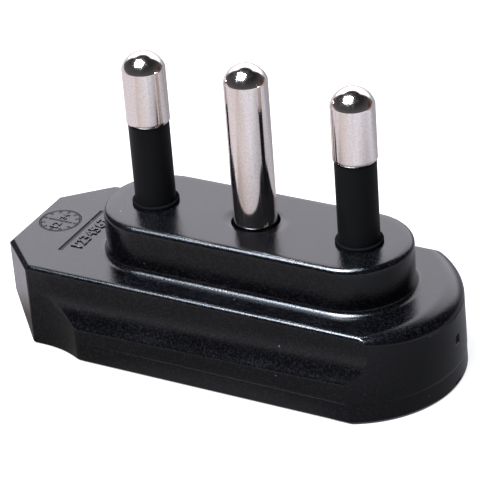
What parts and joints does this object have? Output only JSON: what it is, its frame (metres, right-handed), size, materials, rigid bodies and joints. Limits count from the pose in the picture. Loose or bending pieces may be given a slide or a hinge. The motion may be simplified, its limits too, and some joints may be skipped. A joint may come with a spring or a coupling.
{
  "type": "flat electric plug",
  "caption": "Low right-angle mains plug: a flared black body with a raised boss, a row of round pins, sleeved outer pins and a side cord neck.",
  "frame": {"origin": "on the flat back face, under the earth pin's axis", "axes": "+Z along the pins towards their tips, +X along the row of pins away from the cord neck"},
  "size_m": [0.0549, 0.0238, 0.0359],
  "materials": {
    "body_plastic": "satin",
    "sleeve_plastic": "satin",
    "retainer_plastic": "matte",
    "pin_nickel": "polished",
    "zinc_steel": "satin",
    "bush_brass": "satin"
  },
  "bodies": {
    "root": {"housing": "body_plastic", "rear_cover": "body_plastic", "pin_retainer": "retainer_plastic", "line_pin": "pin_nickel", "neutral_pin": "pin_nickel", "earth_pin": "pin_nickel", "line_pin_sleeve": "sleeve_plastic", "neutral_pin_sleeve": "sleeve_plastic", "cord_strap": "zinc_steel", "strap_screw_front": "zinc_steel", "strap_screw_rear": "zinc_steel", "line_terminal_screw": "zinc_steel", "earth_terminal_screw": "zinc_steel", "neutral_terminal_screw": "zinc_steel", "line_wire_saddle": "zinc_steel", "earth_wire_saddle": "zinc_steel", "neutral_wire_saddle": "zinc_steel", "cover_insert_neck_side": "bush_brass", "cover_insert_end_side": "bush_brass", "cover_screw_neck_side": "zinc_steel", "cover_screw_end_side": "zinc_steel"}
  },
  "joints": []
}
